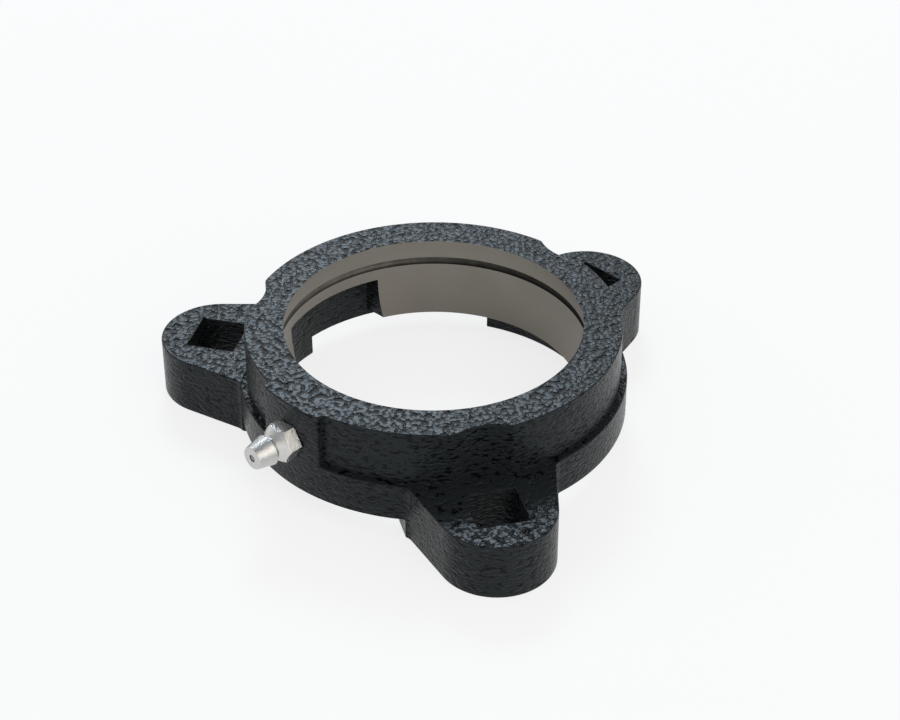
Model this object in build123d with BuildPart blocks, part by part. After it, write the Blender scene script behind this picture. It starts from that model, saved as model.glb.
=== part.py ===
from build123d import *
import math
import os

# Three-bolt flange housing for a spherical insert bearing, with its grease fitting.
# Millimetres. +Z runs up the bore axis, z = 0 is the mounting plane under the three pads,
# one ear stands on +Y and the grease fitting points to -Y.

# Seat for the bearing insert
insert_diameter = 62.0
seat_width = 17.8
groove_radius = 0.9
groove_drop = 5.45

# Casting, worked outward from the seat
hub_wall = 6.45
ledge_width = 1.35
relief_step = 3.15
relief_height = 1.5
pad_height = 4.1
pad_width = 30.0
ear_thickness = 12.0

# Ears, square bolt holes and the hollows in the hub that clear the washers
ear_count = 3
first_ear_azimuth = 90.0
bolt_reach = 7.2
bolt_square = 9.8
ear_wall = 6.6
ear_taper = 15.0
ear_root_fillet = 3.0
hollow_depth = 1.85
hollow_fillet = 1.6

# Slots through which the insert is loaded edge-on and then turned flat
slot_width = 25.0
slot_turn = 1.5

# Boss and tapped hole for the grease fitting
fitting_drop = 8.15
boss_width = 15.2
thread_diameter = 6.0
thread_clearance = 0.05

# Grease fitting, measured outward from the boss
hex_across_flats = 7.0
hex_length = 2.45
hex_cone_length = 2.0
hex_turn = 2.0
shank_length = 5.5
shank_chamfer = 0.5
neck_radius = 2.4
neck_length = 0.35
head_radius = 3.1
head_shoulder = 0.55
head_length = 4.3
tip_radius = 2.3

# Check valve inside the fitting
inlet_radius = 0.75
inlet_lip = 0.25
ball_radius = 1.2
ball_seat_gap = 0.03
outlet_radius = 0.8
outlet_lip = 0.6
spring_wire_radius = 0.15
spring_clearance = 0.15
spring_turns = 8
spring_end_gap = 0.05

# Heights and radii that follow from the sizes above
seat_radius = insert_diameter / 2
mouth_radius = math.sqrt(seat_radius**2 - (seat_width / 2) ** 2)
seat_bottom = pad_height + relief_height
seat_centre = seat_bottom + seat_width / 2
hub_top = seat_bottom + seat_width
hub_radius = seat_radius + hub_wall
ring_radius = hub_radius + ledge_width
relief_radius = seat_radius + relief_step
bolt_circle_radius = ring_radius + bolt_reach
ear_end_radius = bolt_square / 2 + ear_wall
hollow_radius = bolt_circle_radius - hub_radius + hollow_depth
fitting_height = hub_top - fitting_drop
groove_height = hub_top - groove_drop
groove_centre_radius = math.sqrt(seat_radius**2 - (groove_height - seat_centre) ** 2)


def ear_plane(height):
    """Horizontal plane whose local X axis runs out along the first ear."""
    return Plane.XY.offset(height).rotated((0, 0, first_ear_azimuth))


# Plan of one ear, pointing along local X: straight tapered sides and a round end
taper = math.radians(ear_taper)
ear_root = ring_radius / 2
ear_root_half = ear_end_radius / math.cos(taper) + (bolt_circle_radius - ear_root) * math.tan(taper)
tangent_x = bolt_circle_radius + ear_end_radius * math.sin(taper)
tangent_y = ear_end_radius * math.cos(taper)
with BuildSketch() as ear_plan:
    with BuildLine():
        Polyline(
            (tangent_x, -tangent_y),
            (ear_root, -ear_root_half),
            (ear_root, ear_root_half),
            (tangent_x, tangent_y),
        )
        ThreePointArc(
            (tangent_x, tangent_y),
            (bolt_circle_radius + ear_end_radius, 0),
            (tangent_x, -tangent_y),
        )
    make_face()

# Plan of the flange: the lower ring with its ears, filleted where they meet
with BuildSketch() as flange_plan:
    Circle(ring_radius)
    with PolarLocations(0, ear_count):
        add(ear_plan.sketch)
    ear_roots = flange_plan.vertices().filter_by(
        lambda vertex: abs(math.hypot(vertex.X, vertex.Y) - ring_radius) < 1e-3
    )
    fillet(ear_roots, ear_root_fillet)

# Plan of the three pads: the ears cut to a parallel width, outside the relief
with BuildSketch() as pad_plan:
    with PolarLocations(0, ear_count):
        Rectangle(
            bolt_circle_radius + ear_end_radius,
            pad_width,
            align=(Align.MIN, Align.CENTER),
        )
    add(flange_plan.sketch, mode=Mode.INTERSECT)
    Circle(relief_radius, mode=Mode.SUBTRACT)

# Plan of the hub: hollowed beside each bolt hole to clear the washer
with BuildSketch() as hub_plan:
    Circle(hub_radius)
    with PolarLocations(bolt_circle_radius, ear_count):
        Circle(hollow_radius, mode=Mode.SUBTRACT)
    fillet(hub_plan.vertices(), hollow_fillet)

with BuildPart() as housing:
    # Three pads with the flange on them
    with BuildSketch(ear_plane(0)):
        add(pad_plan.sketch)
    extrude(amount=pad_height)
    with BuildSketch(ear_plane(pad_height)):
        add(flange_plan.sketch)
    extrude(amount=ear_thickness - pad_height)

    # Square bolt holes, for bolts whose square necks stop them turning
    with BuildSketch(ear_plane(0)):
        with PolarLocations(bolt_circle_radius, ear_count):
            Rectangle(bolt_square, bolt_square)
    extrude(amount=ear_thickness, mode=Mode.SUBTRACT)

    # Hub on the flange, and the boss for the grease fitting, flush with the lower ring
    with BuildSketch(ear_plane(ear_thickness)):
        add(hub_plan.sketch)
    extrude(amount=hub_top - ear_thickness)
    with BuildSketch(Plane.XY.offset(ear_thickness)):
        Circle(ring_radius)
        Rectangle(boss_width, ring_radius, align=(Align.CENTER, Align.MAX), mode=Mode.INTERSECT)
    extrude(amount=hub_top - ear_thickness)

    # Tapped hole from the boss through to the seat, drawn at the thread's outside
    with BuildSketch(Plane.XZ):
        with Locations((0, fitting_height)):
            Circle(thread_diameter / 2)
    extrude(amount=ring_radius, mode=Mode.SUBTRACT)

    # Spherical seat, open above, with the wider relief below it
    with BuildSketch(Plane.XZ):
        with BuildLine():
            Polyline(
                (mouth_radius, hub_top),
                (0, hub_top),
                (0, 0),
                (relief_radius, 0),
                (relief_radius, seat_bottom),
                (mouth_radius, seat_bottom),
            )
            ThreePointArc(
                (mouth_radius, seat_bottom),
                (seat_radius, seat_centre),
                (mouth_radius, hub_top),
            )
        make_face()
    revolve(axis=Axis.Z, mode=Mode.SUBTRACT)

    # Half-round grease groove in the seat
    with BuildSketch(Plane.XZ):
        with Locations((groove_centre_radius, groove_height)):
            Circle(groove_radius)
    revolve(axis=Axis.Z, mode=Mode.SUBTRACT)

    # Loading slots, from below up to the seat's widest level
    with BuildSketch(Plane.XY.rotated((0, 0, slot_turn))):
        Circle(relief_radius)
        Rectangle(2 * relief_radius, slot_width, mode=Mode.INTERSECT)
    extrude(amount=seat_centre, mode=Mode.SUBTRACT)

# Places on the fitting, as distances outward from the boss
hex_corner_radius = hex_across_flats / math.sqrt(3)
neck_start = hex_length + hex_cone_length
head_start = neck_start + neck_length
tip_end = head_start + head_length
valve_bore_radius = ball_radius + spring_wire_radius + spring_clearance
seat_cone_start = tip_end - inlet_lip - (valve_bore_radius - inlet_radius)
fitting_axis = Axis((0, 0, fitting_height), (0, -1, 0))
fitting_plane = Plane((0, -ring_radius, fitting_height), x_dir=(1, 0, 0), z_dir=(0, -1, 0))
# Section plane through the fitting: local X runs outward, local Y is the radius
fitting_section = Plane((0, -ring_radius, fitting_height), x_dir=(0, -1, 0), z_dir=(1, 0, 0))

with BuildPart() as grease_fitting_body:
    # Hexagon, chamfered by the cone that runs down to the neck
    with BuildSketch(fitting_plane):
        RegularPolygon(hex_corner_radius, 6, rotation=hex_turn)
    extrude(amount=neck_start)
    with BuildSketch(fitting_section):
        with BuildLine():
            Polyline(
                (0, 0),
                (0, hex_corner_radius),
                (hex_length, hex_corner_radius),
                (neck_start, neck_radius),
                (neck_start, 0),
                close=True,
            )
        make_face()
    revolve(axis=fitting_axis, mode=Mode.INTERSECT)

    # Threaded shank, neck and coned head
    with BuildSketch(fitting_section):
        with BuildLine():
            Polyline(
                (0, 0),
                (-shank_length, 0),
                (-shank_length, thread_diameter / 2 - thread_clearance - shank_chamfer),
                (shank_chamfer - shank_length, thread_diameter / 2 - thread_clearance),
                (0, thread_diameter / 2 - thread_clearance),
                close=True,
            )
        make_face()
        with BuildLine():
            Polyline(
                (neck_start, 0),
                (neck_start, neck_radius),
                (head_start, neck_radius),
                (head_start + head_shoulder, head_radius),
                (tip_end, tip_radius),
                (tip_end, 0),
                close=True,
            )
        make_face()
    revolve(axis=fitting_axis)

    # Stepped bore: rolled outlet lip, valve chamber, coned ball seat and inlet
    with BuildSketch(fitting_section):
        with BuildLine():
            Polyline(
                (-shank_length, 0),
                (-shank_length, outlet_radius),
                (outlet_lip - shank_length, outlet_radius),
                (outlet_lip - shank_length, valve_bore_radius),
                (seat_cone_start, valve_bore_radius),
                (tip_end - inlet_lip, inlet_radius),
                (tip_end, inlet_radius),
                (tip_end, 0),
                close=True,
            )
        make_face()
    revolve(axis=fitting_axis, mode=Mode.SUBTRACT)

# Ball against its seat, where the 45 degree cone holds it
cone_apex = tip_end - inlet_lip + inlet_radius
ball_place = cone_apex - (ball_radius + ball_seat_gap) * math.sqrt(2)
with BuildPart() as check_ball:
    with Locations((0, -ring_radius - ball_place, fitting_height)):
        Sphere(ball_radius)

# Spring from the outlet lip up to the back of the ball, its coils as wide as the ball
ball_back = ball_place - math.sqrt((ball_radius + spring_wire_radius) ** 2 - ball_radius**2)
spring_start = outlet_lip - shank_length + spring_wire_radius + spring_end_gap
spring_end = ball_back - spring_end_gap
spring_length = spring_end - spring_start
with BuildPart() as check_spring:
    with BuildLine() as coil:
        Helix(
            spring_length / spring_turns,
            spring_length,
            ball_radius,
            center=(0, -ring_radius - spring_start, fitting_height),
            direction=(0, -1, 0),
        )
    with BuildSketch(Plane(coil.line @ 0, z_dir=coil.line % 0)):
        Circle(spring_wire_radius)
    sweep(path=coil.line, is_frenet=True)

os.makedirs("parts", exist_ok=True)
pieces = {
    "housing": housing.part,
    "grease_fitting_body": grease_fitting_body.part,
    "check_ball": check_ball.part,
    "check_spring": check_spring.part,
}
for node, piece in pieces.items():
    piece.label = node
    export_step(piece, f"parts/{node}.step")
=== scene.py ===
import bmesh
import bpy
import math
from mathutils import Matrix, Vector


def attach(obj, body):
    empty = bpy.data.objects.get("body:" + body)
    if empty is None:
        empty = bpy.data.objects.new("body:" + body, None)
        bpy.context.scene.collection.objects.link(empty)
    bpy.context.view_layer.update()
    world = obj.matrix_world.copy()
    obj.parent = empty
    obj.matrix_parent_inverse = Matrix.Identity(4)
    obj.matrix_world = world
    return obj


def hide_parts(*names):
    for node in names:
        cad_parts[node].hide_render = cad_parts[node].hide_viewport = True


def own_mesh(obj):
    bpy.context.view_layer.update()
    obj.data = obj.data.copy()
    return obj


# Looks of the flange bearing housing and its grease fitting, drawn around the CAD model.
# Sizes are in millimetres and become metres where a mesh is made. +Z runs up the bore axis,
# z = 0 is the mounting plane, one ear stands on +Y and the grease fitting points to -Y.
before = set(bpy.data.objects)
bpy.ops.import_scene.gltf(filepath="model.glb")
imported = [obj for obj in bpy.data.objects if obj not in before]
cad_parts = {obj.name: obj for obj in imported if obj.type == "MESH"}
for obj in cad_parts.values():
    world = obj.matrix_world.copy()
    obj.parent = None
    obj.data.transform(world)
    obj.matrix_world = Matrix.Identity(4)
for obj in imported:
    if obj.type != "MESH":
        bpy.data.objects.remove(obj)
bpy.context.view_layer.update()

MM = 0.001

# Seat for the bearing insert
SEAT_RADIUS = 31.0
SEAT_WIDTH = 17.8
GROOVE_RADIUS = 0.9
GROOVE_DROP = 5.45

# Casting, worked outward from the seat
HUB_WALL = 6.45
LEDGE_WIDTH = 1.35
RELIEF_STEP = 3.15
RELIEF_HEIGHT = 1.5
PAD_HEIGHT = 4.1
PAD_HALF = 15.0
EAR_TOP = 12.0
EDGE_ROUNDING = 0.25

# Ears, square bolt holes and the hollows in the hub that clear the washers
EAR_COUNT = 3
FIRST_EAR_AZIMUTH = 90.0
BOLT_REACH = 7.2
BOLT_HALF = 4.9
EAR_WALL = 6.6
EAR_TAPER = math.radians(15.0)
EAR_ROOT_FILLET = 3.0
HOLLOW_DEPTH = 1.85
HOLLOW_FILLET = 1.6

# Loading slots, and the boss with the tapped hole for the fitting
SLOT_HALF = 12.5
SLOT_TURN = math.radians(1.5)
FITTING_AZIMUTH = -90.0
FITTING_DROP = 8.15
BOSS_HALF = 7.6
TAPPED_RADIUS = 3.0

# Grease fitting, measured outward from the boss
HEX_FLATS = 7.0
HEX_LENGTH = 2.45
HEX_CONE_LENGTH = 2.0
HEX_TURN = 2.0
FLATS_END = 3.2
NECK_RADIUS = 2.4
NECK_LENGTH = 0.35
HEAD_RADIUS = 3.1
HEAD_SHOULDER = 0.55
HEAD_LENGTH = 4.3
TIP_RADIUS = 2.3

# Shank and its thread
SHANK_LENGTH = 5.5
SHANK_CHAMFER = 0.5
LEAD_RADIUS = 2.7
THREAD_CLEARANCE = 0.05
THREAD_PITCH = 1.0
THREAD_DEPTH = 0.55

# Check valve inside the fitting
INLET_RADIUS = 0.75
INLET_LIP = 0.25
OUTLET_RADIUS = 0.8
OUTLET_LIP = 0.6
BALL_RADIUS = 1.2
BALL_SEAT_GAP = 0.03
SPRING_WIRE = 0.15
SPRING_CLEARANCE = 0.15
SPRING_TURNS = 8
SPRING_END_GAP = 0.05

# Heights and radii that follow from the sizes above
SEAT_BOTTOM = PAD_HEIGHT + RELIEF_HEIGHT
SEAT_CENTRE = SEAT_BOTTOM + SEAT_WIDTH / 2
HUB_TOP = SEAT_BOTTOM + SEAT_WIDTH
MOUTH_RADIUS = math.sqrt(SEAT_RADIUS**2 - (SEAT_WIDTH / 2) ** 2)
HUB_RADIUS = SEAT_RADIUS + HUB_WALL
RING_RADIUS = HUB_RADIUS + LEDGE_WIDTH
RELIEF_RADIUS = SEAT_RADIUS + RELIEF_STEP
BOLT_RADIUS = RING_RADIUS + BOLT_REACH
EAR_END_RADIUS = BOLT_HALF + EAR_WALL
EAR_SPACING = 360.0 / EAR_COUNT
EAR_AZIMUTHS = [FIRST_EAR_AZIMUTH + EAR_SPACING * i for i in range(EAR_COUNT)]
HOLLOW_RADIUS = BOLT_RADIUS - HUB_RADIUS + HOLLOW_DEPTH
FITTING_HEIGHT = HUB_TOP - FITTING_DROP
GROOVE_HEIGHT = HUB_TOP - GROOVE_DROP
GROOVE_CIRCLE = math.sqrt(SEAT_RADIUS**2 - (GROOVE_HEIGHT - SEAT_CENTRE) ** 2)
THREAD_RADIUS = TAPPED_RADIUS - THREAD_CLEARANCE
VALVE_RADIUS = BALL_RADIUS + SPRING_WIRE + SPRING_CLEARANCE

# Places along the fitting, as distances outward from the boss
NECK_START = HEX_LENGTH + HEX_CONE_LENGTH
HEAD_START = NECK_START + NECK_LENGTH
TIP_END = HEAD_START + HEAD_LENGTH
SPRING_SEAT = OUTLET_LIP - SHANK_LENGTH
CONE_APEX = TIP_END - INLET_LIP + INLET_RADIUS
BALL_PLACE = CONE_APEX - (BALL_RADIUS + BALL_SEAT_GAP) * math.sqrt(2)

# Places clear of the casting, where the cutters end
BEYOND = 80.0
ABOVE = 30.0
BELOW = -5.0

# Steps along arcs in degrees, finer on larger circles
RING_STEP = 1.5
EAR_STEP = 3.0
FILLET_STEP = 6.0

# Material slots of the casting
PAINT = 0
BARE = 1
GROOVE = 2

# Camera as fitted to the photograph: its place in metres, its turn in degrees, its lens and
# sensor in millimetres
CAMERA_PLACE = (0.25690, -0.25230, 0.26819)
CAMERA_TILT = 54.777
CAMERA_TURN = 45.0
CAMERA_LENS = 87.96
CAMERA_SENSOR = 36.0

# Floor, just under the pads
FLOOR_HALF = 15000.0
FLOOR_HEIGHT = -0.05


# Mesh helpers
def arc(centre, radius, start, end, step):
    """Points on an arc from start to end, in degrees, with both ends."""
    count = max(2, math.ceil(abs(end - start) / step))
    points = []
    for i in range(count + 1):
        angle = math.radians(start + (end - start) * i / count)
        points.append((centre[0] + radius * math.cos(angle), centre[1] + radius * math.sin(angle)))
    return points


def turned(points, azimuth):
    """Points turned about the bore axis, azimuth in degrees."""
    c = math.cos(math.radians(azimuth))
    s = math.sin(math.radians(azimuth))
    return [(c * x - s * y, s * x + c * y) for x, y in points]


def without_repeats(points):
    """A closed outline without points that repeat the one before them."""
    same = 1e-4
    kept = []
    for point in points:
        if not kept or math.dist(point, kept[-1]) > same:
            kept.append(point)
    if math.dist(kept[0], kept[-1]) < same:
        kept.pop()
    return kept


def mesh_object(name, vertices, faces):
    """A mesh object from points in millimetres."""
    mesh = bpy.data.meshes.new(name)
    mesh.from_pydata([Vector(v) * MM for v in vertices], [], faces)
    mesh.update()
    obj = bpy.data.objects.new(name, mesh)
    bpy.context.scene.collection.objects.link(obj)
    return obj


def prism(name, loop, low, high):
    """A solid with a flat outline, from one height to another."""
    n = len(loop)
    vertices = [(x, y, low) for x, y in loop] + [(x, y, high) for x, y in loop]
    faces = [list(range(n))[::-1], list(range(n, 2 * n))]
    for i in range(n):
        j = (i + 1) % n
        faces.append([i, j, n + j, n + i])
    return mesh_object(name, vertices, faces)


def lathe(name, profile, count, to_space):
    """A solid of revolution from (along, radius) points that start and end on the axis."""
    vertices = []
    rings = []
    for along, radius in profile:
        if radius == 0.0:
            rings.append([len(vertices)] * count)
            vertices.append(to_space(along, 0.0, 0.0))
            continue
        rings.append(list(range(len(vertices), len(vertices) + count)))
        for i in range(count):
            angle = math.tau * i / count
            vertices.append(to_space(along, radius * math.cos(angle), radius * math.sin(angle)))
    faces = []
    for a, b in zip(rings, rings[1:]):
        for i in range(count):
            j = (i + 1) % count
            corners = []
            for v in (a[i], a[j], b[j], b[i]):
                if v not in corners:
                    corners.append(v)
            faces.append(corners)
    return mesh_object(name, vertices, faces)


def face_outward(obj):
    """Turns all faces of a closed mesh outward."""
    bm = bmesh.new()
    bm.from_mesh(obj.data)
    bmesh.ops.recalc_face_normals(bm, faces=bm.faces)
    bm.to_mesh(obj.data)
    bm.free()


def cut(target, cutter):
    """Cuts one solid from another and deletes the cutter."""
    face_outward(cutter)
    modifier = target.modifiers.new("cut", "BOOLEAN")
    modifier.operation = "DIFFERENCE"
    modifier.solver = "EXACT"
    modifier.object = cutter
    bpy.context.view_layer.update()
    depsgraph = bpy.context.evaluated_depsgraph_get()
    result = bpy.data.meshes.new_from_object(target.evaluated_get(depsgraph))
    target.modifiers.clear()
    old = target.data
    target.data = result
    bpy.data.meshes.remove(old)
    bpy.data.objects.remove(cutter, do_unlink=True)


def smooth(obj, sharpest=48.0):
    """Smooth shading that keeps flat faces flat and breaks at edges sharper than this, in degrees."""
    bm = bmesh.new()
    bm.from_mesh(obj.data)
    for face in bm.faces:
        face.smooth = True
    for edge in bm.edges:
        edge.smooth = edge.calc_face_angle(0.0) < math.radians(sharpest)
    bm.to_mesh(obj.data)
    bm.free()
    modifier = obj.modifiers.new("normals", "WEIGHTED_NORMAL")
    modifier.mode = "FACE_AREA"
    modifier.weight = 50
    modifier.keep_sharp = True


# Housing
def flange_outline():
    """The lower ring with its three ears, filleted where they meet."""
    normal = (math.sin(EAR_TAPER), math.cos(EAR_TAPER))
    reach = BOLT_RADIUS * normal[0] + EAR_END_RADIUS + EAR_ROOT_FILLET
    along = math.sqrt((RING_RADIUS + EAR_ROOT_FILLET) ** 2 - reach**2)
    centre = (
        normal[0] * reach + normal[1] * along,
        normal[1] * reach - normal[0] * along,
    )
    root = math.degrees(math.atan2(centre[1], centre[0]))
    taper = math.degrees(EAR_TAPER)
    ear = arc((centre[0], -centre[1]), EAR_ROOT_FILLET, 180 - root, 90 + taper, FILLET_STEP)
    ear += arc((BOLT_RADIUS, 0), EAR_END_RADIUS, taper - 90, 90 - taper, EAR_STEP)
    ear += arc(centre, EAR_ROOT_FILLET, 270 - taper, 180 + root, FILLET_STEP)
    ear += arc((0, 0), RING_RADIUS, root, EAR_SPACING - root, RING_STEP)
    loop = []
    for azimuth in EAR_AZIMUTHS:
        loop += turned(ear, azimuth)
    return without_repeats(loop)


def hub_outline():
    """The hub with its hollows, open at the boss, from the boss's +X side round to its -X side."""
    inner = HUB_RADIUS - HOLLOW_FILLET
    outer = HOLLOW_RADIUS + HOLLOW_FILLET
    x = (BOLT_RADIUS**2 + inner**2 - outer**2) / (2 * BOLT_RADIUS)
    y = math.sqrt(inner**2 - x**2)
    corner = math.degrees(math.atan2(y, x))
    lean = math.degrees(math.atan2(y, BOLT_RADIUS - x))
    hollow = arc((x, -y), HOLLOW_FILLET, -corner, lean, FILLET_STEP)
    hollow += arc((BOLT_RADIUS, 0), HOLLOW_RADIUS, 180 + lean, 180 - lean, EAR_STEP)
    hollow += arc((x, y), HOLLOW_FILLET, -lean, corner, FILLET_STEP)
    boss = math.degrees(math.asin(BOSS_HALF / HUB_RADIUS))
    loop = []
    start = FITTING_AZIMUTH + boss
    for i in range(EAR_COUNT):
        azimuth = FITTING_AZIMUTH + EAR_SPACING * (i + 0.5)
        loop += arc((0, 0), HUB_RADIUS, start, azimuth - corner, RING_STEP)
        loop += turned(hollow, azimuth)
        start = azimuth + corner
    loop += arc((0, 0), HUB_RADIUS, start, FITTING_AZIMUTH + 360 - boss, RING_STEP)
    return without_repeats(loop)


def around_hub_outline():
    """All that is cut away above the ears: from the hub outward, except for the boss."""
    gap = 10.0
    far_circle = arc((0, 0), BEYOND, FITTING_AZIMUTH + 360 - gap, FITTING_AZIMUTH + gap, gap)
    return hub_outline() + [(-BOSS_HALF, -BEYOND)] + far_circle + [(BOSS_HALF, -BEYOND)]


def recess_outline(azimuth):
    """The space between the pad at this azimuth and the next one."""
    half = EAR_SPACING / 2
    apex = turned([(PAD_HALF / math.sin(math.radians(half)), 0)], azimuth + half)
    side = turned([(BEYOND, PAD_HALF)], azimuth)
    far = turned([(2 * BEYOND, 0)], azimuth + half)
    next_side = turned([(BEYOND, -PAD_HALF)], azimuth + EAR_SPACING)
    return apex + side + far + next_side


def bolt_hole_outline(azimuth):
    """One square bolt hole, two of its sides along the radius."""
    return turned([
        (BOLT_RADIUS - BOLT_HALF, -BOLT_HALF),
        (BOLT_RADIUS + BOLT_HALF, -BOLT_HALF),
        (BOLT_RADIUS + BOLT_HALF, BOLT_HALF),
        (BOLT_RADIUS - BOLT_HALF, BOLT_HALF),
    ], azimuth)


def relief_cutter():
    """The round relief under the seat, with the two loading slots standing up from it."""
    def off_slot_axis(point):
        return abs(-math.sin(SLOT_TURN) * point[0] + math.cos(SLOT_TURN) * point[1])

    near = 1e-6
    half = math.degrees(math.asin(SLOT_HALF / RELIEF_RADIUS))
    turn = math.degrees(SLOT_TURN)
    corners = [turn - half, turn + half, turn + 180 - half, turn + 180 + half]
    circle = []
    for start, end in zip(corners, corners[1:] + [corners[0] + 360]):
        circle += arc((0, 0), RELIEF_RADIUS, start, end, RING_STEP)[:-1]
    n = len(circle)
    in_slot = [off_slot_axis(point) < SLOT_HALF + near for point in circle]

    # Points: the foot of the relief, its top, and the top of the slots above that
    vertices = [(x, y, BELOW) for x, y in circle] + [(x, y, SEAT_BOTTOM) for x, y in circle]
    top = {}
    for i, (x, y) in enumerate(circle):
        if in_slot[i]:
            top[i] = len(vertices)
            vertices.append((x, y, SEAT_CENTRE))

    # Walls round the relief, and round the ends of the slots
    faces = [list(range(n))]
    for i in range(n):
        j = (i + 1) % n
        faces.append([i, j, n + j, n + i])
        middle = (off_slot_axis(circle[i]) + off_slot_axis(circle[j])) / 2
        if in_slot[i] and in_slot[j] and middle < SLOT_HALF - near:
            faces.append([n + i, n + j, top[j], top[i]])

    # Straight sides of the slots, the relief's top on either side of them, and the slots' top
    ends = [i for i in range(n) if abs(off_slot_axis(circle[i]) - SLOT_HALF) < near]
    right_low, right_high, left_high, left_low = ends
    faces.append([n + right_high, n + left_high, top[left_high], top[right_high]])
    faces.append([n + left_low, n + right_low, top[right_low], top[left_low]])
    faces.append([n + i for i in range(right_high, left_high + 1)])
    faces.append([n + i for i in range(left_low, n)] + [n + right_low])
    faces.append([top[i] for i in sorted(top)])
    return mesh_object("relief_cutter", vertices, faces)


def seat_profile():
    """The seat's section from the relief up to the mouth, with the grease groove in it."""
    lower_steps = 23
    groove_steps = 12
    upper_steps = 11

    def on_sphere(angle):
        return (SEAT_CENTRE + SEAT_RADIUS * math.sin(angle), SEAT_RADIUS * math.cos(angle))

    low = math.asin((SEAT_BOTTOM - SEAT_CENTRE) / SEAT_RADIUS)
    middle = math.asin((GROOVE_HEIGHT - SEAT_CENTRE) / SEAT_RADIUS)
    mouth = math.asin((HUB_TOP - SEAT_CENTRE) / SEAT_RADIUS)
    half = 2 * math.asin(GROOVE_RADIUS / 2 / SEAT_RADIUS)
    points = []
    for i in range(lower_steps + 1):
        points.append(on_sphere(low + (middle - half - low) * i / lower_steps))
    height, radius = on_sphere(middle)
    first = on_sphere(middle - half)
    last = on_sphere(middle + half)
    start = math.atan2(first[1] - radius, first[0] - height)
    end = math.atan2(last[1] - radius, last[0] - height)
    for i in range(1, groove_steps):
        angle = start + (end - start) * i / groove_steps
        points.append((height + GROOVE_RADIUS * math.cos(angle), radius + GROOVE_RADIUS * math.sin(angle)))
    for i in range(upper_steps + 1):
        points.append(on_sphere(middle + half + (mouth - middle - half) * i / upper_steps))
    return points


def seat_cutter():
    """The spherical seat, open below into the relief and above through the mouth."""
    sides = 240
    profile = [(BELOW, 0.0), (BELOW, MOUTH_RADIUS)]
    profile += seat_profile()
    profile += [(ABOVE, MOUTH_RADIUS), (ABOVE, 0.0)]
    return lathe("seat_cutter", profile, sides, lambda along, x, y: (x, y, along))


def tapped_hole_cutter():
    """The tapped hole, from inside the seat out through the boss."""
    sides = 48
    inside = SEAT_RADIUS / 2
    profile = [(inside, 0.0), (inside, TAPPED_RADIUS), (BEYOND, TAPPED_RADIUS), (BEYOND, 0.0)]
    return lathe("hole_cutter", profile, sides, lambda along, x, z: (x, -along, FITTING_HEIGHT + z))


def make_housing():
    """The casting as one closed mesh, cut as the CAD model is."""
    casting = prism("housing_body", flange_outline(), 0, HUB_TOP)
    face_outward(casting)
    cut(casting, prism("around_hub", around_hub_outline(), EAR_TOP, ABOVE))
    for azimuth in EAR_AZIMUTHS:
        cut(casting, prism("recess", recess_outline(azimuth), BELOW, PAD_HEIGHT))
        cut(casting, prism("bolt_hole", bolt_hole_outline(azimuth), BELOW, ABOVE))
    cut(casting, relief_cutter())
    cut(casting, seat_cutter())
    cut(casting, tapped_hole_cutter())
    return casting


def in_seat(x, y, z, margin):
    """True inside the sphere of the seat, or within a margin of it."""
    return math.dist((x, y, z), (0, 0, SEAT_CENTRE)) < SEAT_RADIUS + margin


def in_tapped_hole(x, y, z, margin):
    """True inside the tapped hole, or within a margin of its wall."""
    return y < 0 and math.hypot(x, z - FITTING_HEIGHT) < TAPPED_RADIUS + margin


def on_casting(point):
    """True on the as-cast surface, away from the machined seat, its mouth and the tapped hole."""
    margin = 0.1
    mouth_margin = 1.0
    x, y, z = (c / MM for c in point)
    if in_seat(x, y, z, margin) or in_tapped_hole(x, y, z, margin):
        return False
    return math.hypot(x, y) >= MOUTH_RADIUS + mouth_margin


def round_edges(obj, radius, sharpest):
    """Merges the cast surface's nearly equal points, then rounds its sharp outside edges."""
    merge_distance = 0.06
    bm = bmesh.new()
    bm.from_mesh(obj.data)
    cast = [v for v in bm.verts if on_casting(v.co)]
    bmesh.ops.remove_doubles(bm, verts=cast, dist=merge_distance * MM)
    edges = []
    for edge in bm.edges:
        if len(edge.link_faces) != 2 or edge.calc_face_angle(0.0) < math.radians(sharpest):
            continue
        if edge.is_convex and all(on_casting(v.co) for v in edge.verts):
            edges.append(edge)
    bmesh.ops.bevel(
        bm, geom=edges, offset=radius * MM, offset_type="OFFSET", segments=2,
        profile=0.5, affect="EDGES", clamp_overlap=False,
    )
    bm.to_mesh(obj.data)
    bm.free()


def finish_at(point):
    """The finish at a point of the casting, as its material slot."""
    groove_margin = 0.02
    margin = 0.05
    x, y, z = (c / MM for c in point)
    if math.hypot(math.hypot(x, y) - GROOVE_CIRCLE, z - GROOVE_HEIGHT) < GROOVE_RADIUS + groove_margin:
        return GROOVE
    if in_seat(x, y, z, margin) or in_tapped_hole(x, y, z, margin):
        return BARE
    return PAINT


# Grease fitting
def out_of_boss(along, x, z):
    """A point given as a distance out from the boss, and its offsets from the fitting's axis."""
    return (x, -RING_RADIUS - along, FITTING_HEIGHT + z)


def ring_solid(name, rings, azimuths, to_space):
    """A closed solid with a hole through it, from rings of (along, radius) points round an axis."""
    n = len(azimuths)
    vertices = []
    for ring in rings:
        for azimuth, (along, radius) in zip(azimuths, ring):
            angle = math.radians(azimuth)
            vertices.append(to_space(along, radius * math.cos(angle), radius * math.sin(angle)))
    faces = []
    for k in range(len(rings)):
        a = k * n
        b = (k + 1) % len(rings) * n
        for i in range(n):
            j = (i + 1) % n
            faces.append([a + i, a + j, b + j, b + i])
    obj = mesh_object(name, vertices, faces)
    face_outward(obj)
    return obj


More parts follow.
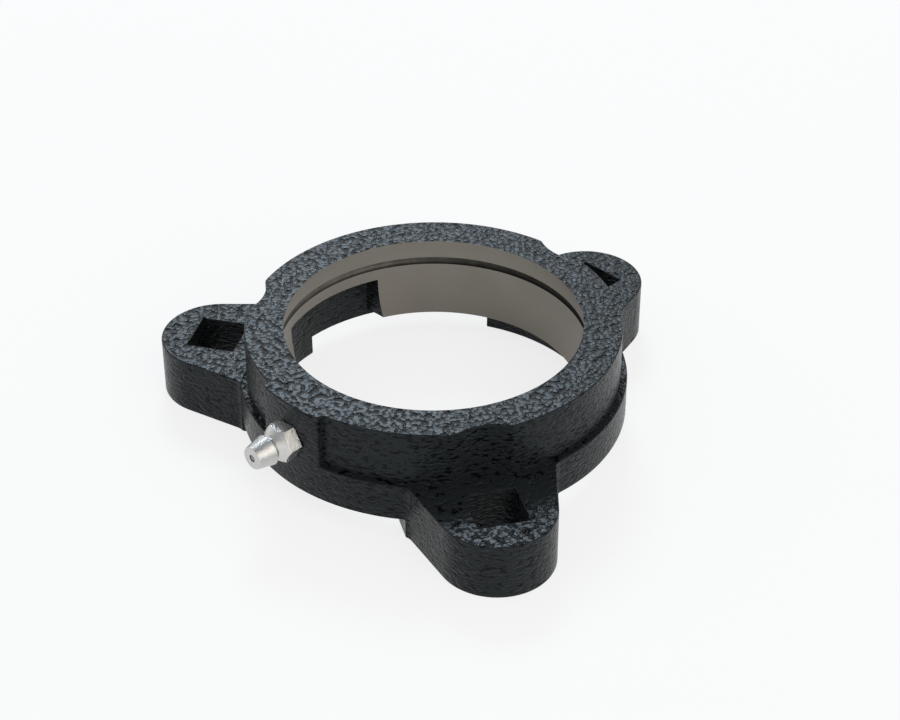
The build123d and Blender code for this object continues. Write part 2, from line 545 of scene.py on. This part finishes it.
def thread_rings(azimuths):
    """Rings of the thread, a groove that runs in from the shank's end and out before the boss."""
    steps = 48
    step_length = 0.1
    run_in_steps = 6
    run_out_steps = 10
    lead_steps = 3
    flank_slope = 1.35
    crest_share = 0.15
    start = SHANK_CHAMFER - SHANK_LENGTH
    rings = []
    for step in range(1, steps + 1):
        along = start + step_length * step
        depth = THREAD_DEPTH * min(1.0, (step - 1) / run_in_steps, (steps + 1 - step) / run_out_steps)
        crest = LEAD_RADIUS + (THREAD_RADIUS - LEAD_RADIUS) * min(1.0, step / lead_steps)
        ring = []
        for azimuth in azimuths:
            phase = abs(2 * ((along / THREAD_PITCH - azimuth / 360) % 1.0) - 1)
            sunk = min(1.0, max(0.0, flank_slope * phase - crest_share))
            ring.append((along, crest - depth * sunk))
        rings.append(ring)
    return rings


def make_fitting():
    """Hexagon, cone, neck, coned head, threaded shank and the stepped bore through them."""
    sides = 90
    azimuths = [HEX_TURN + 360 / sides * i for i in range(sides)]
    hexagon = [HEX_FLATS / 2 / math.cos(math.radians((a - HEX_TURN) % 60 - 30)) for a in azimuths]
    hex_corner = HEX_FLATS / math.sqrt(3)
    cone_slope = (hex_corner - NECK_RADIUS) / HEX_CONE_LENGTH
    hex_chamfer = 0.12
    shoulder = HEAD_START + HEAD_SHOULDER

    # The small roundings of the turned edges are multiples of this
    ease = 0.02
    bore = [
        (TIP_END, INLET_RADIUS + 1.5 * ease),
        (TIP_END - 1.5 * ease, INLET_RADIUS),
        (TIP_END - INLET_LIP, INLET_RADIUS),
        (TIP_END - INLET_LIP - (VALVE_RADIUS - INLET_RADIUS), VALVE_RADIUS),
        (SPRING_SEAT, VALVE_RADIUS),
        (SPRING_SEAT, OUTLET_RADIUS),
        (-SHANK_LENGTH, OUTLET_RADIUS),
    ]
    shank_end = [
        (-SHANK_LENGTH, LEAD_RADIUS - SHANK_CHAMFER),
        (SHANK_CHAMFER - SHANK_LENGTH, LEAD_RADIUS),
    ]
    neck_and_head = [
        (NECK_START - 2.5 * ease, NECK_RADIUS + 2.5 * ease * cone_slope),
        (NECK_START + ease, NECK_RADIUS),
        (HEAD_START - 4 * ease, NECK_RADIUS),
        (HEAD_START, NECK_RADIUS + 2.5 * ease),
        (shoulder - 4 * ease, HEAD_RADIUS - 4 * ease),
        (shoulder - 2 * ease, HEAD_RADIUS - 1.5 * ease),
        (shoulder + ease, HEAD_RADIUS),
        (shoulder + 5 * ease, HEAD_RADIUS - ease),
        (TIP_END - 10 * ease, TIP_RADIUS + 2.25 * ease),
        (TIP_END - 3 * ease, TIP_RADIUS - ease),
        (TIP_END, TIP_RADIUS - 8 * ease),
        (TIP_END, INLET_RADIUS + INLET_LIP),
    ]

    def even(points):
        return [[point] * sides for point in points]

    rings = even(bore + shank_end)
    rings += thread_rings(azimuths)
    rings += even([(0.0, THREAD_RADIUS)])
    rings.append([(0.0, radius - hex_chamfer) for radius in hexagon])
    rings.append([(hex_chamfer, radius) for radius in hexagon])
    rings.append([(HEX_LENGTH + (hex_corner - radius) / cone_slope, radius) for radius in hexagon])
    rings += even(neck_and_head)
    return ring_solid("fitting_body", rings, azimuths, out_of_boss)


def is_hex_flat(face):
    """True for the flats of the fitting's hexagon, which lie along its axis."""
    outward = -face.center.y / MM - RING_RADIUS
    return 0.0 < outward < FLATS_END and abs(face.normal.y) < 0.1


def make_ball():
    """The check ball, as a fine sphere."""
    bm = bmesh.new()
    bmesh.ops.create_icosphere(bm, subdivisions=4, radius=BALL_RADIUS * MM)
    bmesh.ops.translate(bm, verts=bm.verts, vec=Vector(out_of_boss(BALL_PLACE, 0, 0)) * MM)
    mesh = bpy.data.meshes.new("ball")
    bm.to_mesh(mesh)
    bm.free()
    obj = bpy.data.objects.new("ball", mesh)
    bpy.context.scene.collection.objects.link(obj)
    return obj


def make_spring():
    """The coil spring behind the ball: round wire along a helix as wide as the ball."""
    sides = 12
    steps = 40 * SPRING_TURNS
    ball_back = BALL_PLACE - math.sqrt((BALL_RADIUS + SPRING_WIRE) ** 2 - BALL_RADIUS**2)
    start = SPRING_SEAT + SPRING_WIRE + SPRING_END_GAP
    end = ball_back - SPRING_END_GAP
    whole_turn = math.tau * SPRING_TURNS
    vertices = []
    for i in range(steps + 1):
        angle = whole_turn * i / steps
        outward = Vector((0, math.cos(angle), math.sin(angle)))
        sideways = Vector((0, -math.sin(angle), math.cos(angle)))
        centre = Vector((start + (end - start) * i / steps, 0, 0)) + BALL_RADIUS * outward
        along = Vector(((end - start) / whole_turn, 0, 0)) + BALL_RADIUS * sideways
        across = along.normalized().cross(outward)
        for k in range(sides):
            turn = math.tau * k / sides
            point = centre + SPRING_WIRE * (math.cos(turn) * outward + math.sin(turn) * across)
            vertices.append(out_of_boss(*point))
    faces = [list(range(sides)), list(range(steps * sides, (steps + 1) * sides))]
    for i in range(steps):
        for k in range(sides):
            a = i * sides + k
            b = i * sides + (k + 1) % sides
            faces.append([a, b, b + sides, a + sides])
    obj = mesh_object("spring", vertices, faces)
    face_outward(obj)
    return obj


# Materials
class Tree:
    """Short ways to add nodes and links to a material's or the world's node tree."""

    def __init__(self, owner):
        owner.use_nodes = True
        self.tree = owner.node_tree

    def node(self, kind, **settings):
        made = self.tree.nodes.new("ShaderNode" + kind)
        for key, value in settings.items():
            setattr(made, key, value)
        return made

    def link(self, source, target):
        self.tree.links.new(source, target)

    def math(self, operation, a, b):
        """The result of a math node on two values, each a number or an output."""
        made = self.node("Math", operation=operation)
        for socket, value in zip(made.inputs, (a, b)):
            if isinstance(value, (int, float)):
                socket.default_value = value
            else:
                self.link(value, socket)
        return made.outputs[0]

    def scaled(self, value, factor, offset):
        """A value times a factor, plus an offset."""
        return self.math("ADD", self.math("MULTIPLY", value, factor), offset)

    def blended(self, first, share, second):
        """A share of one value and the rest of another."""
        rest = self.math("MULTIPLY", second, 1.0 - share)
        return self.math("ADD", self.math("MULTIPLY", first, share), rest)

    def ramp(self, value, stops):
        """A colour that runs through the stops as the value rises."""
        made = self.node("ValToRGB")
        elements = made.color_ramp.elements
        while len(elements) < len(stops):
            elements.new(0.5)
        for element, (place, colour) in zip(elements, stops):
            element.position = place
            element.color = (*colour, 1.0)
        self.link(value, made.inputs["Fac"])
        return made.outputs["Color"]

    def parts(self, vector):
        """The X, Y and Z outputs of a vector, by name."""
        made = self.node("SeparateXYZ")
        self.link(vector, made.inputs[0])
        return made.outputs

    def millimetres(self, scale=(1.0, 1.0, 1.0)):
        """Object coordinates in millimetres, times a scale along each axis."""
        mapping = self.node("Mapping")
        mapping.inputs["Scale"].default_value = [factor / MM for factor in scale]
        self.link(self.node("TexCoord").outputs["Object"], mapping.inputs["Vector"])
        return mapping.outputs["Vector"]

    def noise(self, vector, scale, detail, roughness=0.5, output="Fac"):
        made = self.node("TexNoise")
        made.inputs["Scale"].default_value = scale
        made.inputs["Detail"].default_value = detail
        made.inputs["Roughness"].default_value = roughness
        self.link(vector, made.inputs["Vector"])
        return made.outputs[output]

    def bump(self, height, distance, strength=1.0):
        """A normal from a height, its distance in millimetres."""
        made = self.node("Bump")
        made.inputs["Strength"].default_value = strength
        made.inputs["Distance"].default_value = distance * MM
        self.link(height, made.inputs["Height"])
        return made.outputs["Normal"]

    def seen_directly(self):
        """1 for what the camera, a reflection or glass shows, and 0 for light on the object."""
        path = self.node("LightPath")
        seen = self.math("MAXIMUM", path.outputs["Is Camera Ray"], path.outputs["Is Glossy Ray"])
        return self.math("MAXIMUM", seen, path.outputs["Is Transmission Ray"])


def surface(name, colour, metallic, roughness, specular=0.5):
    """A new material with its plain values set on the shader."""
    material = bpy.data.materials.new(name)
    tree = Tree(material)
    bsdf = tree.tree.nodes["Principled BSDF"]
    bsdf.inputs["Base Color"].default_value = (*colour, 1.0)
    bsdf.inputs["Metallic"].default_value = metallic
    bsdf.inputs["Roughness"].default_value = roughness
    bsdf.inputs["Specular IOR Level"].default_value = specular
    return material, tree, bsdf


def wrinkle_paint():
    """Black wrinkle paint: smooth domes about a millimetre across, with pits among them that are darkened
    by painted shade.

    Domes and pits are wider than they are tall on walls. Level faces have the full relief and
    fewer pits.
    """
    pit_shade_black = (0.003, 0.0032, 0.0034)
    crease_shade_black = (0.0125, 0.014, 0.015)
    paint_black = (0.018, 0.021, 0.0225)
    gloss_tint = (0.84, 0.93, 1.0, 1.0)
    dome_flattening = (1.0, 1.0, 1.8)
    pit_flattening = (0.6, 0.6, 1.8)
    bend = 0.8
    pit_bottom = 0.38
    pit_rim = 0.47
    fewer_on_tops = 0.06
    rim_height = 0.15
    edge_steepness = 4.0
    wall_relief = 0.6
    pit_share = 0.85

    material, tree, bsdf = surface(
        "wrinkle_paint", paint_black, metallic=0.0, roughness=0.28, specular=0.13,
    )
    bsdf.inputs["Specular Tint"].default_value = gloss_tint

    # Places bent by a smooth noise, so that the domes have uneven outlines
    place = tree.millimetres(dome_flattening)
    warp = tree.node("VectorMath", operation="MULTIPLY_ADD")
    tree.link(tree.noise(place, scale=0.55, detail=0.0, output="Color"), warp.inputs[0])
    warp.inputs[1].default_value = (bend, bend, bend)
    tree.link(place, warp.inputs[2])

    # 1 on level faces and 0 on upright walls
    facing = tree.parts(tree.node("TexCoord").outputs["Normal"])
    level = tree.math("ABSOLUTE", facing["Z"], 0.0)

    # 0 in a pit and 1 outside it
    hollows = tree.noise(tree.millimetres(pit_flattening), scale=1.0, detail=1.0)
    pits = tree.node("MapRange", interpolation_type="SMOOTHSTEP")
    pits.inputs["From Min"].default_value = pit_bottom
    pits.inputs["From Max"].default_value = pit_rim
    tree.link(tree.math("ADD", hollows, tree.math("MULTIPLY", level, fewer_on_tops)), pits.inputs["Value"])

    domes = tree.node("TexVoronoi", feature="SMOOTH_F1")
    domes.inputs["Scale"].default_value = 1.0
    domes.inputs["Smoothness"].default_value = 0.35
    tree.link(warp.outputs[0], domes.inputs["Vector"])
    fall = tree.math("POWER", domes.outputs["Distance"], edge_steepness)
    raised = tree.math("SUBTRACT", tree.math("MULTIPLY", pits.outputs["Result"], rim_height), fall)
    relief = tree.math("MULTIPLY", raised, tree.scaled(level, 1.0 - wall_relief, wall_relief))
    tree.link(tree.bump(relief, distance=0.43), bsdf.inputs["Normal"])

    cloud = tree.noise(warp.outputs[0], scale=0.9, detail=0.0)
    # The base colour darkens the pits and their rims with painted shade, and a soft cloud varies it at
    # random
    shade = tree.ramp(tree.blended(pits.outputs["Result"], pit_share, cloud), [
        (0.1, pit_shade_black),
        (0.45, crease_shade_black),
        (0.9, paint_black),
    ])
    tree.link(shade, bsdf.inputs["Base Color"])
    tree.link(tree.scaled(cloud, factor=0.1, offset=0.23), bsdf.inputs["Roughness"])
    return material


def machined_iron():
    """Bare turned iron: matt warm grey with fine marks round the bore."""
    darker = (0.220, 0.203, 0.177)
    lighter = (0.246, 0.229, 0.203)
    marks_up = 9.0
    marks_round = 0.05
    mark_share = 0.35

    material, tree, bsdf = surface("machined_iron", lighter, metallic=1.0, roughness=0.5)
    place = tree.millimetres()
    split = tree.parts(place)
    rings = tree.node("CombineXYZ")
    for axis, factor in (("X", marks_round), ("Y", marks_round), ("Z", marks_up)):
        tree.link(tree.math("MULTIPLY", split[axis], factor), rings.inputs[axis])
    marks = tree.noise(rings.outputs[0], scale=1.0, detail=3.0, roughness=0.6)
    tree.link(tree.bump(marks, distance=0.01, strength=0.6), bsdf.inputs["Normal"])
    cloud = tree.noise(place, scale=0.12, detail=4.0)
    shade = tree.ramp(tree.blended(marks, mark_share, cloud), [(0.3, darker), (0.7, lighter)])
    tree.link(shade, bsdf.inputs["Base Color"])
    tree.link(tree.scaled(marks, factor=0.15, offset=0.42), bsdf.inputs["Roughness"])
    return material


def groove_iron():
    """The grease groove: machined iron with painted shade, darkest at its lower side and towards +X +Y,
    with random blotches in its tone.
    """
    deepest_shade = (0.045, 0.042, 0.038)
    half_shade = (0.095, 0.089, 0.080)
    least_shade = (0.200, 0.188, 0.168)
    lighter_upward = 0.25
    smear_share = 0.5
    shade_across = 0.01

    material, tree, bsdf = surface("groove_iron", half_shade, metallic=1.0, roughness=0.6)
    place = tree.millimetres()
    split = tree.parts(place)
    # Painted shade: lighter higher up the groove, darker at its lower side, with random blotches
    lifted = tree.math("SUBTRACT", split["Z"], GROOVE_HEIGHT - GROOVE_RADIUS)
    smear = tree.math("MULTIPLY", tree.noise(place, scale=0.4, detail=3.0), smear_share)
    height_shade_and_blotches = tree.math("ADD", tree.math("MULTIPLY", lifted, lighter_upward), smear)
    # Painted shade: darker towards +X +Y
    across = tree.math("ADD", split["X"], split["Y"])
    shade_level = tree.math("SUBTRACT", height_shade_and_blotches, tree.math("MULTIPLY", across, shade_across))
    shade = tree.ramp(shade_level, [(0.05, deepest_shade), (0.4, half_shade), (0.75, least_shade)])
    tree.link(shade, bsdf.inputs["Base Color"])
    return material


def zinc_plate(name, at_boss, at_tip, relief):
    """Bright zinc plating with a fine sparkle, its tone running from the boss out to the tip, where the
    darker tip is painted shade.
    """
    grains_a_millimetre = 6.5
    per_centimetre = 0.1
    sparkle = 0.6

    material, tree, bsdf = surface(name, at_boss, metallic=1.0, roughness=0.26)
    place = tree.millimetres()
    grain = tree.noise(place, scale=grains_a_millimetre, detail=1.0, roughness=0.6)
    tree.link(tree.bump(grain, relief), bsdf.inputs["Normal"])
    outward = tree.math("SUBTRACT", -RING_RADIUS, tree.parts(place)["Y"])
    tone = tree.ramp(tree.math("MULTIPLY", outward, per_centimetre), [(0.25, at_boss), (0.9, at_tip)])
    shade = tree.node("VectorMath", operation="SCALE")
    tree.link(tone, shade.inputs[0])
    tree.link(tree.scaled(grain, sparkle, 1.0 - sparkle / 2), shade.inputs["Scale"])
    tree.link(shade.outputs[0], bsdf.inputs["Base Color"])
    tree.link(tree.scaled(grain, factor=0.15, offset=0.16), bsdf.inputs["Roughness"])
    return material


def steel(name, colour, roughness):
    """Plain steel with a slight variation in tone and polish."""
    darkest = 0.85
    polish = 0.1

    material, tree, bsdf = surface(name, colour, metallic=1.0, roughness=roughness)
    grain = tree.noise(tree.millimetres(), scale=3.0, detail=3.0)
    shade = tree.ramp(grain, [(0.3, tuple(darkest * c for c in colour)), (0.7, colour)])
    tree.link(shade, bsdf.inputs["Base Color"])
    tree.link(tree.scaled(grain, polish, roughness - polish / 2), bsdf.inputs["Roughness"])
    return material


# Camera, floor and light
def make_camera():
    """The camera at the photograph's viewing angle."""
    data = bpy.data.cameras.new("camera")
    data.sensor_width = CAMERA_SENSOR
    data.lens = CAMERA_LENS
    data.clip_start = 0.01
    data.clip_end = 50.0
    camera = bpy.data.objects.new("camera", data)
    camera.location = CAMERA_PLACE
    camera.rotation_euler = (math.radians(CAMERA_TILT), 0.0, math.radians(CAMERA_TURN))
    bpy.context.scene.collection.objects.link(camera)
    bpy.context.scene.camera = camera


def make_floor():
    """A wide pale floor, which shows almost white and keeps the object's soft shadow."""
    shown_white = 0.8
    edges = ((-1, -1), (1, -1), (1, 1), (-1, 1))
    corners = [(x * FLOOR_HALF, y * FLOOR_HALF, FLOOR_HEIGHT) for x, y in edges]
    floor = mesh_object("floor", corners, [[0, 1, 2, 3]])
    material, tree, bsdf = surface("floor", (0.93, 0.93, 0.93), metallic=0.0, roughness=1.0, specular=0.0)
    floor.data.materials.append(material)
    white = tree.node("Emission")
    mix = tree.node("MixShader")
    tree.link(tree.math("MULTIPLY", tree.seen_directly(), shown_white), mix.inputs["Fac"])
    tree.link(bsdf.outputs["BSDF"], mix.inputs[1])
    tree.link(white.outputs["Emission"], mix.inputs[2])
    tree.link(mix.outputs["Shader"], tree.tree.nodes["Material Output"].inputs["Surface"])


def area_light(name, power, size, location, colour):
    """A round soft lamp aimed at the object."""
    data = bpy.data.lights.new(name, "AREA")
    data.energy = power
    data.shape = "DISK"
    data.size = size
    data.color = colour
    light = bpy.data.objects.new(name, data)
    light.location = location
    light.rotation_euler = (-Vector(location)).to_track_quat("-Z", "Y").to_euler()
    bpy.context.scene.collection.objects.link(light)


def make_world():
    """Even light all round, and a backdrop that shows white near the horizon and grey overhead."""
    white = (1.0, 1.0, 1.0)
    grey = (0.4, 0.41, 0.42)
    world = bpy.data.worlds.new("studio")
    bpy.context.scene.world = world
    tree = Tree(world)
    tree.tree.nodes.clear()
    direction = tree.parts(tree.node("TexCoord").outputs["Generated"])
    shown = tree.node("Background")
    tree.link(tree.ramp(direction["Z"], [(0.25, white), (0.6, grey)]), shown.inputs["Color"])
    lit = tree.node("Background")
    lit.inputs["Color"].default_value = (0.93, 0.98, 1.0, 1.0)
    lit.inputs["Strength"].default_value = 0.5
    mix = tree.node("MixShader")
    tree.link(tree.seen_directly(), mix.inputs["Fac"])
    tree.link(lit.outputs[0], mix.inputs[1])
    tree.link(shown.outputs[0], mix.inputs[2])
    tree.link(mix.outputs[0], tree.node("OutputWorld").inputs["Surface"])


# The pieces and their finishes
housing = make_housing()
round_edges(housing, EDGE_ROUNDING, sharpest=60.0)
smooth(housing)
housing.data.materials.clear()
for finish in (wrinkle_paint, machined_iron, groove_iron):
    housing.data.materials.append(finish())
for face in housing.data.polygons:
    face.material_index = min(finish_at(housing.data.vertices[v].co) for v in face.vertices)

fitting = make_fitting()
smooth(fitting, sharpest=25.0)
# Painted shade makes the turned surfaces darker towards the tip, and a painted reflection makes the
# hexagon's flats much lighter than the turned surfaces
turned_boss = (0.63, 0.625, 0.61)
turned_tip = (0.55, 0.55, 0.54)
flat_painted_bright = (0.92, 0.91, 0.89)
fitting.data.materials.append(zinc_plate("zinc_turned", turned_boss, turned_tip, relief=0.058))
fitting.data.materials.append(zinc_plate("zinc_flats", flat_painted_bright, flat_painted_bright, relief=0.08))
for face in fitting.data.polygons:
    face.material_index = int(is_hex_flat(face))

ball = make_ball()
smooth(ball)
ball.data.materials.append(steel("ball_steel", (0.29, 0.29, 0.31), roughness=0.5))

spring = make_spring()
smooth(spring)
spring.data.materials.append(steel("spring_wire", (0.42, 0.42, 0.43), roughness=0.35))

# What each piece stands for, and the body that it rides on
for piece, node, body in (
    (housing, "housing", "housing"),
    (fitting, "grease_fitting_body", "housing"),
    (spring, "check_spring", "housing"),
    (ball, "check_ball", "check_ball"),
):
    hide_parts(node)
    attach(piece, body)
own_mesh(spring)

bpy.context.scene.view_settings.view_transform = "Standard"
make_camera()
make_floor()
area_light("back", power=8.4, size=0.5, location=(-0.81, 0.68, 0.93), colour=(0.78, 0.90, 1.0))
area_light("right", power=5.0, size=1.15, location=(1.05, -0.1, 0.75), colour=(1.0, 0.93, 0.84))
area_light("left", power=0.4, size=0.4, location=(-0.75, -0.75, 0.45), colour=(1.0, 0.95, 0.87))
make_world()
